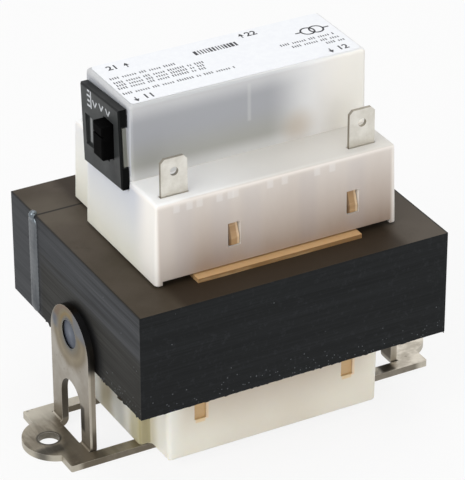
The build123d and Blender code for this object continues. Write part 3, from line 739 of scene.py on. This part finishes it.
def breaker_finish(name, light, dark, smooth, coarse, scuff_and_highlight, gloss=0.2):
    material, board, shader = new_finish(name, Specular_IOR_Level=gloss)
    colour = board.blend(board.cloud(240.0), light, dark)
    if name == "breaker_black":
        colour = bezel_tones(board, shader, colour, gloss)
    # Light painted along the edges: partly scuffs, partly a painted highlight
    colour = board.paint(colour, scuff_and_highlight, 0.3, board.wear_and_highlight(0.2, 2.5))
    moulded_skin(board, shader, colour, 2800.0, smooth, coarse, 0.2, 0.06 * MM)
    return material


# Label stock and its ink
def paper_finish(name, light, dark):
    material, board, shader = new_finish(name, Specular_IOR_Level=0.3)
    colour = board.blend(board.cloud(700.0), light, dark)
    moulded_skin(board, shader, colour, 3600.0, 0.5, 0.64, 0.06, 0.03 * MM)
    return material


# Coil, wires and contacts inside the covers
def winding_finish():
    material, board, shader = new_finish("winding_copper", Metallic=0.85, Coat_Weight=0.5)
    turns = board.add("ShaderNodeTexWave", {"bands_direction": "Y"}, Vector=board.coords(), Scale=700.0)
    colour = board.ramp(turns.outputs["Fac"], (0.1, srgb(92, 40, 18)), (0.6, srgb(196, 108, 58)))
    board.feed(shader["Base Color"], colour)
    board.feed(shader["Roughness"], board.span(board.cloud(300.0), 0, 1, 0.25, 0.4))
    board.feed(shader["Normal"], board.bump(turns.outputs["Fac"], 0.6, 0.15 * MM))
    return material


def tape_finish():
    material, board, shader = new_finish("winding_tape", Coat_Weight=0.4)
    lapped = board.cloud(90.0, stretch=(1, 3, 1))
    board.feed(shader["Base Color"], board.blend(lapped, srgb(224, 200, 96), srgb(206, 178, 74)))
    board.feed(shader["Roughness"], board.span(lapped, 0, 1, 0.28, 0.42))
    return material


def sleeve_finish():
    material, board, shader = new_finish("lead_sleeve")
    strands = {"bands_direction": "DIAGONAL"}
    braid = board.add("ShaderNodeTexWave", strands, Vector=board.coords(), Scale=1500.0).outputs["Fac"]
    colour = board.ramp(braid, (0.2, srgb(178, 170, 152)), (0.8, srgb(216, 210, 194)))
    board.feed(shader["Base Color"], colour)
    board.feed(shader["Roughness"], board.span(braid, 0, 1, 0.75, 0.6))
    board.feed(shader["Normal"], board.bump(braid, 0.4, 0.08 * MM))
    return material


def bright_metal_finish(name, light, dark):
    material, board, shader = new_finish(name, Metallic=1.0)
    patches = board.cloud(420.0)
    board.feed(shader["Base Color"], board.blend(patches, light, dark))
    board.feed(shader["Roughness"], board.span(patches, 0, 1, 0.24, 0.4))
    return material


# Finishes under the names of the CAD's materials
finishes = {made.name.removesuffix("_finish"): made for made in (
    core_finish(), weld_finish(), frame_finish(), bobbin_finish(), winding_finish(), tape_finish(),
    top_cover_finish(), tray_finish(), tab_finish(), sleeve_finish(),
    breaker_finish("breaker_black", srgb(60, 62, 62), srgb(53, 55, 55), 0.42, 0.54, srgb(100, 102, 102)),
    breaker_finish("breaker_grey", srgb(92, 96, 102), srgb(80, 84, 90), 0.45, 0.58, srgb(120, 124, 130)),
    bright_metal_finish("spring_steel", srgb(198, 198, 200), srgb(168, 168, 172)),
    bright_metal_finish("contact_brass", srgb(212, 178, 112), srgb(188, 150, 86)),
    paper_finish("label_paper", srgb(248, 250, 253), srgb(244, 246, 250)),
)}
button_black = breaker_finish(
    "breaker_button", srgb(11, 11, 11), srgb(8, 8, 8), 0.34, 0.44, srgb(24, 25, 25), gloss=0.004)
print_ink = paper_finish("print_ink", srgb(50, 50, 54), srgb(66, 66, 70))
mark_paint = paper_finish("mark_paint", srgb(206, 209, 212), srgb(188, 190, 194))

for name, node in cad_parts.items():
    for held in node.material_slots:
        held.material = button_black if name == "breaker_button" else finishes[held.material.name]


# Modelling calls that the pieces share
def alone(piece):
    bpy.ops.object.select_all(action="DESELECT")
    piece.select_set(True)
    bpy.context.view_layer.objects.active = piece


def apply_modifier(piece, kind, **values):
    alone(piece)
    made = piece.modifiers.new(kind.lower(), kind)
    for name, value in values.items():
        setattr(made, name, value)
    bpy.ops.object.modifier_apply(modifier=made.name)


def join(pieces, name):
    alone(pieces[0])
    for piece in pieces:
        piece.select_set(True)
    bpy.ops.object.join()
    pieces[0].name = name
    pieces[0].data.name = name
    return pieces[0]


def bake_place(piece):
    alone(piece)
    bpy.ops.object.transform_apply(location=True, rotation=True, scale=True)


def edit_points(piece, wanted):
    """Opens the piece in edit mode, with only those points selected whose place is wanted."""
    alone(piece)
    bpy.ops.object.mode_set(mode="EDIT")
    bpy.ops.mesh.select_mode(type="VERT")
    bpy.ops.mesh.select_all(action="DESELECT")
    mesh = bmesh.from_edit_mesh(piece.data)
    for point in mesh.verts:
        point.select = wanted(point.co)
    mesh.select_flush(True)
    bmesh.update_edit_mesh(piece.data)


def close_normals(piece):
    """Turns all faces of a closed piece outwards."""
    alone(piece)
    bpy.ops.object.mode_set(mode="EDIT")
    bpy.ops.mesh.select_all(action="SELECT")
    bpy.ops.mesh.normals_make_consistent(inside=False)
    bpy.ops.object.mode_set(mode="OBJECT")


def dress(piece, finish):
    """Gives a finished piece its material and hangs it on the body."""
    bake_place(piece)
    piece.data.materials.clear()
    piece.data.materials.append(finish)
    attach(piece, BODY)


# Weld runs down the joint at both ends of the core
def add_weld_runs():
    """Overlapping flat drops melted into one run, with a round ball where each run starts."""
    drop_reach, drop_pitch = 1.7 * MM, 1.25 * MM
    ball_radius, ball_ahead, ball_drop = 1.05 * MM, 0.2 * MM, 0.35 * MM
    middle_y = (seam_low.y + seam_high.y) / 2
    drops = 1 + int((seam_high.z - seam_low.z - 2 * drop_reach) / drop_pitch)
    runs = []
    for side in (-1, 1):
        face = side * core_high.x
        bpy.ops.mesh.primitive_uv_sphere_add(
            segments=28, ring_count=14, radius=1, location=(face, middle_y, seam_low.z + drop_reach))
        run = bpy.context.object
        run.scale = (seam_high.x - core_high.x, (seam_high.y - seam_low.y) / 2, drop_reach)
        bake_place(run)
        apply_modifier(run, "ARRAY", count=drops, use_relative_offset=False, use_constant_offset=True,
                       constant_offset_displace=(0, 0, drop_pitch))
        bpy.ops.mesh.primitive_uv_sphere_add(
            segments=28, ring_count=14, radius=ball_radius,
            location=(face, middle_y - ball_ahead, seam_high.z - ball_drop))
        runs.append(join([run, bpy.context.object], "weld_run"))
    welds = join(runs, "weld_runs")
    apply_modifier(welds, "REMESH", mode="VOXEL", voxel_size=0.16 * MM)
    apply_modifier(welds, "SMOOTH", factor=0.5, iterations=6)
    bpy.ops.object.shade_smooth()
    dress(welds, finishes["weld_bead"])
    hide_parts("core_weld_seams")


# Ragged drops of dried varnish along the lower edges of the core
def add_varnish_drips():
    drop, inset, cell = 0.5 * MM, 0.3 * MM, 0.5 * MM
    edges = []
    for side in (-1, 1):
        end_middle = (side * (core_high.x - inset), (core_low.y + bar_low.y) / 2)
        edges.append((bar_low.y - core_low.y, end_middle, math.pi / 2, 1.3 * MM))
        edges.append((core_high.x - core_low.x, (0, side * (bar_high.y - inset)), 0.0, 0.4 * MM))
    strips = []
    for index, (length, (x, y), turn, ragged) in enumerate(edges):
        bpy.ops.mesh.primitive_grid_add(
            x_subdivisions=int(length / cell), y_subdivisions=2, size=1, location=(x, y, core_low.z),
            rotation=(math.pi / 2, 0, turn))
        strip = bpy.context.object
        strip.scale = (length - 2 * inset, 2 * drop, 1)
        bake_place(strip)
        edit_points(strip, lambda place: place.z < core_low.z - drop / 2)
        bpy.ops.transform.translate(value=(0, 0, drop * 0.7))
        bpy.ops.transform.vertex_random(offset=ragged, uniform=0.1, normal=0.0, seed=index + 3)
        bpy.ops.object.mode_set(mode="OBJECT")
        strips.append(strip)
    drips = join(strips, "core_varnish_drips")
    apply_modifier(drips, "SOLIDIFY", thickness=0.4 * MM, offset=0)
    apply_modifier(drips, "SUBSURF", levels=1, render_levels=1)
    close_normals(drips)
    dress(drips, finishes["core_laminations"])


# Webs of the bobbin's plastic that close the tray's windows round the lower catches
def add_catch_webs():
    web_size = (3.2 * MM, 0.3 * MM, 4.5 * MM)
    inset, soft_edge = 0.8 * MM, 0.1 * MM
    webs = []
    for x in base_catches:
        for side in (-1, 1):
            bpy.ops.mesh.primitive_cube_add(
                size=1, location=(x * MM, side * (tray_high.y - inset), window_middle * MM))
            web = bpy.context.object
            web.scale = web_size
            bake_place(web)
            edit_points(web, lambda place: True)
            bpy.ops.mesh.bevel(offset=soft_edge, segments=2)
            bpy.ops.object.mode_set(mode="OBJECT")
            webs.append(web)
    dress(join(webs, "catch_webs"), finishes["bobbin_plastic"])


# Flat print, drawn lying on the ground and then laid on the surface that carries it
def print_bar(x, y, wide, tall):
    bpy.ops.mesh.primitive_plane_add(size=1, location=(x, y, 0))
    bar = bpy.context.object
    bar.scale = (wide, tall, 1)
    return bar


def print_arrow(x, y, tall, turn=0.0):
    """A shaft and a head that point along +Y, or turned from there."""
    ahead_x, ahead_y = -tall * math.sin(turn), tall * math.cos(turn)
    bpy.ops.mesh.primitive_circle_add(
        vertices=3, radius=0.42 * tall, fill_type="NGON",
        location=(x + 0.25 * ahead_x, y + 0.25 * ahead_y, 0), rotation=(0, 0, turn))
    head = bpy.context.object
    shaft = print_bar(x - 0.2 * ahead_x, y - 0.2 * ahead_y, 0.16 * tall, 0.6 * tall)
    shaft.rotation_euler = (0, 0, turn)
    return [head, shaft]


def print_number(digits, x, y, tall):
    bpy.ops.object.text_add(location=(x, y, 0))
    number = bpy.context.object
    number.data.body = digits
    number.data.size = tall / 0.7
    number.data.offset = 0.03 * tall
    number.data.align_x = number.data.align_y = "CENTER"
    alone(number)
    bpy.ops.object.convert(target="MESH")
    return bpy.context.object


def print_ring(x, y, radius, line):
    bpy.ops.mesh.primitive_circle_add(vertices=40, radius=radius, fill_type="NGON", location=(x, y, 0))
    ring = bpy.context.object
    bpy.ops.object.mode_set(mode="EDIT")
    bpy.ops.mesh.inset(thickness=line)
    bpy.ops.mesh.delete(type="FACE")
    bpy.ops.object.mode_set(mode="OBJECT")
    return ring


def print_words(left, right, y, tall):
    """A row of small marks in word-like groups, too small and plain to be letters."""
    pitch = 0.62 * tall
    heights = (1.0, 0.72, 0.86, 0.72, 1.0, 0.8)
    words = (4, 6, 3, 5, 7, 2)
    marks, x, index = [], left, 0
    while x < right:
        for letter in range(words[index % len(words)]):
            if x < right:
                share = heights[(index + 2 * letter) % len(heights)]
                marks.append(print_bar(x, y - (1 - share) * tall / 2, 0.44 * pitch, share * tall))
            x += pitch
        x += pitch
        index += 1
    return marks


def lay_print(marks, name, place, ink):
    """Joins the marks, gives them the thickness of a coat of ink and lays them in their place."""
    for mark in marks:
        bake_place(mark)
    sheet = join(marks, name)
    apply_modifier(sheet, "SOLIDIFY", thickness=ink_thick, offset=1)
    close_normals(sheet)
    sheet.matrix_world = place
    dress(sheet, ink)


# Label print: a number and an arrow for each tab, rows of small print and a transformer's symbol
def add_label_print():
    number_tall, arrow_tall, small_print = 1.9 * MM, 1.8 * MM, 0.95 * MM
    code_left, code_right, code_y, code_tall = -4.6, 5.8, 5.5, 1.9
    symbol_y, ring_radius, symbol_line = 3.4, 1.8, 0.42
    marks = []
    tabs = (("21", -23.6, 7.9, -20.3, 7.6, 0.0), ("22", 10.6, 8.3, 8.2, 8.2, 0.0),
            ("11", -22.6, -7.5, -25.7, -7.6, math.pi), ("12", 25.0, -7.2, 21.9, -7.3, math.pi))
    for digits, x, y, arrow_x, arrow_y, turn in tabs:
        marks.append(print_number(digits, x * MM, y * MM, number_tall))
        marks.extend(print_arrow(arrow_x * MM, arrow_y * MM, arrow_tall, turn))
    rows = ((-26.4, -10.7, 3.2), (-26.5, -4.9, 1.1), (-26.5, -5.4, -0.3), (-26.8, -6.1, -1.7),
            (-27.0, -0.4, -4.3), (13.5, 27.0, -0.2), (15.5, 27.0, -2.0), (23.0, 27.2, -3.8))
    for left, right, y in rows:
        marks.extend(print_words(left * MM, right * MM, y * MM, small_print))
    bars = (0.5, 0.3, 0.3, 0.7, 0.3, 0.5, 0.3, 0.7, 0.5, 0.3)
    x = code_left
    while x < code_right:
        wide = bars[int(x * 3) % len(bars)]
        marks.append(print_bar(x * MM, code_y * MM, wide * MM, code_tall * MM))
        x += wide / 2 + 0.55
    for x in (22.2, 24.4):
        marks.append(print_ring(x * MM, symbol_y * MM, ring_radius * MM, symbol_line * MM))
    for x in (19.8, 26.8):
        marks.append(print_bar(x * MM, symbol_y * MM, 1.4 * MM, symbol_line * MM))
    place = Matrix.Translation((0, 0, label_high.z - ink_sink))
    lay_print(marks, "label_print", place, print_ink)


# Bezel marks: a row of arrowheads that point at the button, and a short scale beside them
def add_bezel_marks():
    head_tall, head_lean, line = 1.7 * MM, 0.6, 0.42 * MM
    marks = []
    for x, y in ((-2.2, 6.5), (0.9, 6.9), (4.1, 6.9)):
        for lean in (-1, 1):
            leg = print_bar((x + lean * 0.48) * MM, y * MM, line, head_tall)
            leg.rotation_euler = (0, 0, -lean * head_lean)
            marks.append(leg)
    for step in range(4):
        wide = 1.1 + 0.5 * (step % 2)
        marks.append(print_bar(-5.1 * MM, (8.7 - 1.15 * step) * MM, wide * MM, 0.45 * MM))
    marks.append(print_bar(-4.0 * MM, 6.9 * MM, line, 4.0 * MM))
    turn = Matrix(((0, 0, -1), (-math.cos(bezel_turn), math.sin(bezel_turn), 0),
                   (math.sin(bezel_turn), math.cos(bezel_turn), 0))).to_4x4()
    place = Matrix.Translation((bezel_low.x + ink_sink, 0, bezel_middle.z)) @ turn
    lay_print(marks, "bezel_marks", place, mark_paint)


# The return spring gets a mesh of its own; on the real breaker it is pressed against its guide as the
# button goes in
def press_spring():
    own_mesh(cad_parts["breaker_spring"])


press_spring()
add_weld_runs()
add_varnish_drips()
add_catch_webs()
add_label_print()
add_bezel_marks()


# Camera at the photograph's place: its angles and focal length were solved from the core's corners
def add_camera():
    place, focal_length, film_width = (-0.2834, -0.52473, 0.38093), 230.3, 36
    turn, lift, roll = (math.radians(angle) for angle in (-28.493, 29.746, -0.166))
    back = Vector((math.sin(turn) * math.cos(lift), -math.cos(turn) * math.cos(lift), math.sin(lift)))
    right = Vector((0, 0, 1)).cross(back).normalized()
    up = back.cross(right)
    level, tilt = math.cos(roll), math.sin(roll)
    right, up = level * right + tilt * up, level * up - tilt * right
    bpy.ops.object.camera_add(location=place)
    camera = bpy.context.object
    camera.name = "photo_camera"
    camera.rotation_euler = Matrix((right, up, back)).transposed().to_euler()
    camera.data.sensor_width = film_width
    camera.data.lens = focal_length
    bpy.context.scene.camera = camera


# Pale floor, white surroundings and soft lamps
def white_to_eye(board):
    """1 where the eye, a mirror or clear plastic looks at the surroundings, and 0 for their light."""
    path = board.add("ShaderNodeLightPath").outputs
    seen = board.math("MAXIMUM", path["Is Camera Ray"], path["Is Glossy Ray"])
    return board.math("MAXIMUM", seen, path["Is Transmission Ray"])


def add_surroundings():
    world = bpy.data.worlds.new("studio")
    world.use_nodes = True
    bpy.context.scene.world = world
    board = Board(world.node_tree)
    sky = world.node_tree.nodes["Background"].inputs
    sky["Color"].default_value = (1, 1, 1, 1)
    board.feed(sky["Strength"], board.span(white_to_eye(board), 0, 1, 0.55, 1.0, smooth=False))

    bpy.ops.mesh.primitive_plane_add(size=4, location=(0, 0, -0.05 * MM))
    floor = bpy.context.object
    floor.name = "floor"
    material, board = new_finish("floor", Base_Color=(0.86, 0.86, 0.86, 1), Roughness=0.9)[:2]
    glow = board.add("ShaderNodeEmission", Strength=1.0)
    mixed = board.add("ShaderNodeMixShader")
    board.feed(mixed.inputs[0], board.math("MULTIPLY", white_to_eye(board), 0.85))
    board.feed(mixed.inputs[1], material.node_tree.nodes["Principled BSDF"].outputs[0])
    board.feed(mixed.inputs[2], glow.outputs[0])
    board.feed(material.node_tree.nodes["Material Output"].inputs["Surface"], mixed.outputs[0])
    floor.data.materials.append(material)


def add_lamp(name, place, size, power):
    bpy.ops.object.light_add(type="AREA", location=place)
    lamp = bpy.context.object
    lamp.name = name
    lamp.data.size = size
    lamp.data.energy = power
    target = Vector((0, 0, 40 * MM))
    aim = target - Vector(place)
    lamp.rotation_euler = aim.to_track_quat("-Z", "Y").to_euler()


add_camera()
add_surroundings()
add_lamp("left_softbox", (-0.75, -0.25, 0.6), 0.7, 3.8)
add_lamp("top_softbox", (0.1, 0.15, 1.0), 0.8, 2.4)
add_lamp("front_fill", (0.2, -1.0, 0.24), 0.8, 2.2)

bpy.context.scene.view_settings.view_transform = "Standard"
